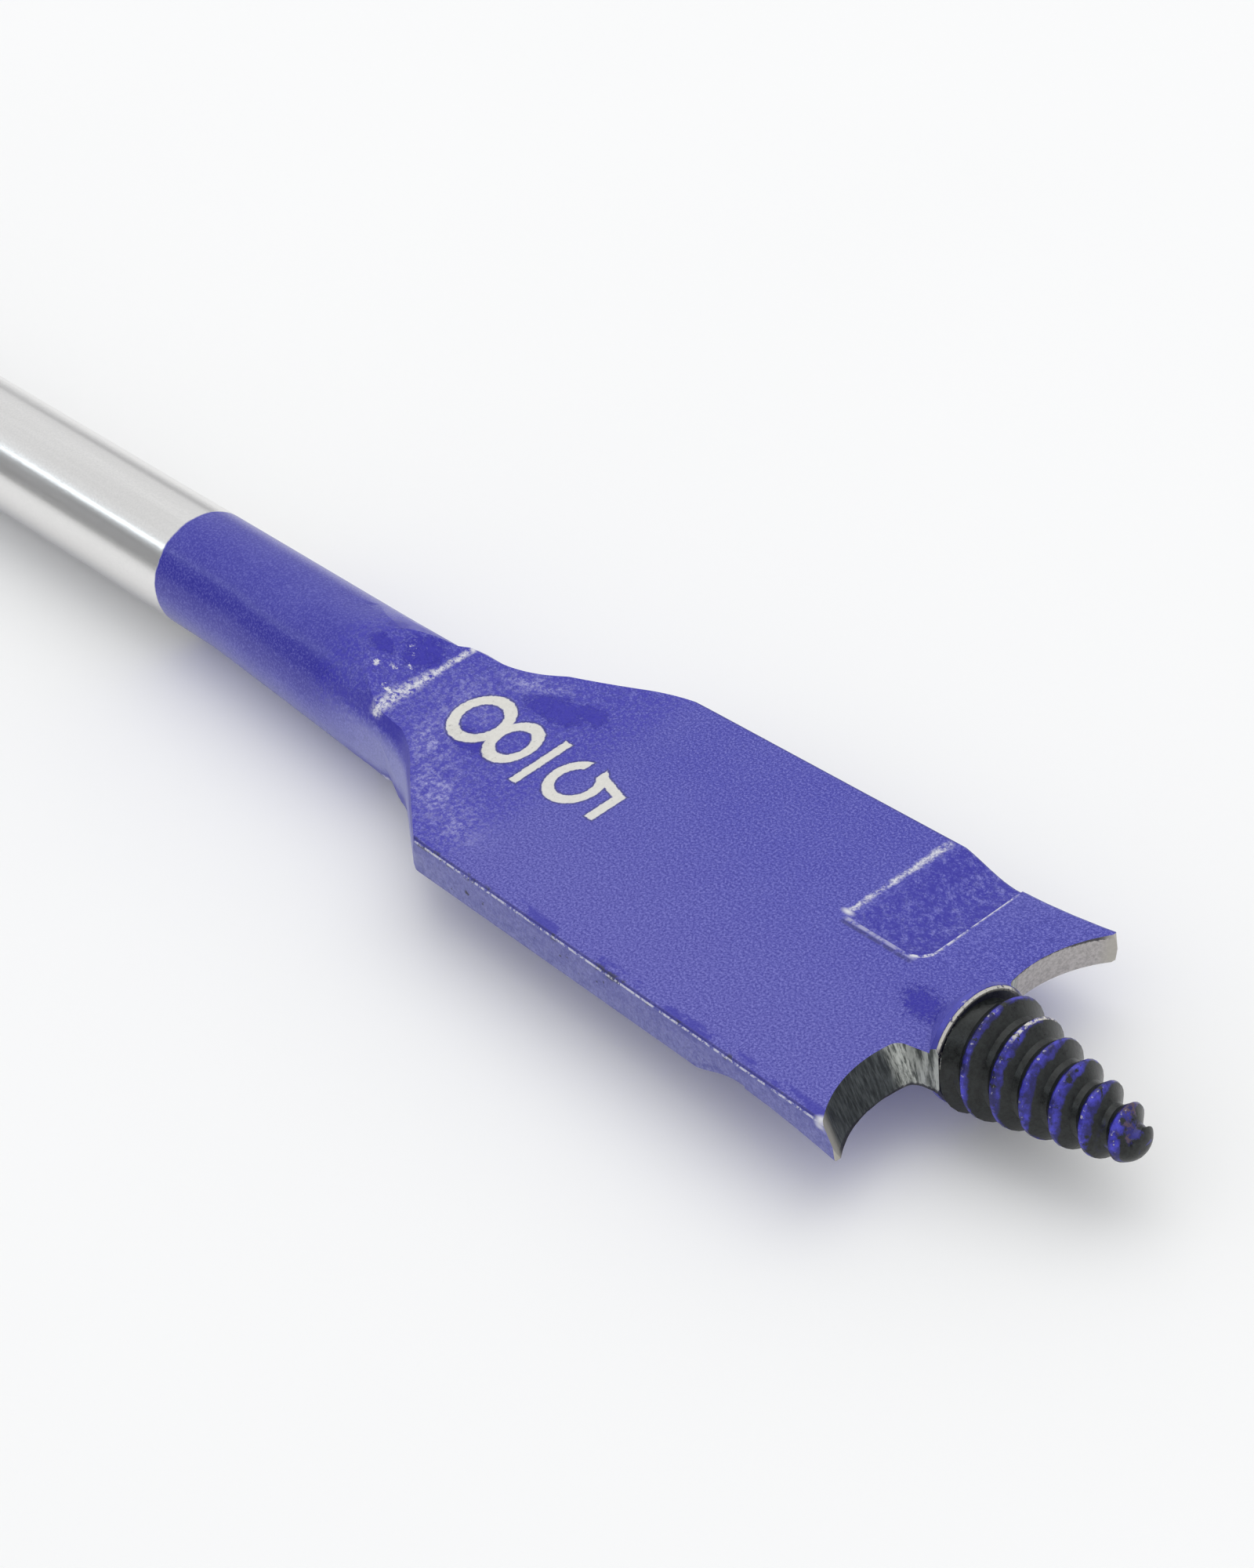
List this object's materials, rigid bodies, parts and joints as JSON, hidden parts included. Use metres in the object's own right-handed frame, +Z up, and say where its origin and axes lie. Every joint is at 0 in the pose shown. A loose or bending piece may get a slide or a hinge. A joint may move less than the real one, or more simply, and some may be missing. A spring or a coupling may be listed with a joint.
{
  "type": "spade drill bit",
  "caption": "Flat forged spade bit for drilling wood, with a hexagonal shank, round rod, ground lips with outer spurs, pressed chip grooves and a tapered lead screw.",
  "frame": {"origin": "centre of the end face of the hexagonal shank", "axes": "+X along the bit toward the tip of the lead screw, +Y across the blade, +Z up from the level blade"},
  "size_m": [0.1524, 0.0158, 0.0068],
  "materials": {
    "coated_steel": "satin blue coat on the blade and neck, bare steel on the shank, lips and thread"
  },
  "bodies": {
    "root": {"spade_bit": "coated_steel"}
  },
  "joints": []
}
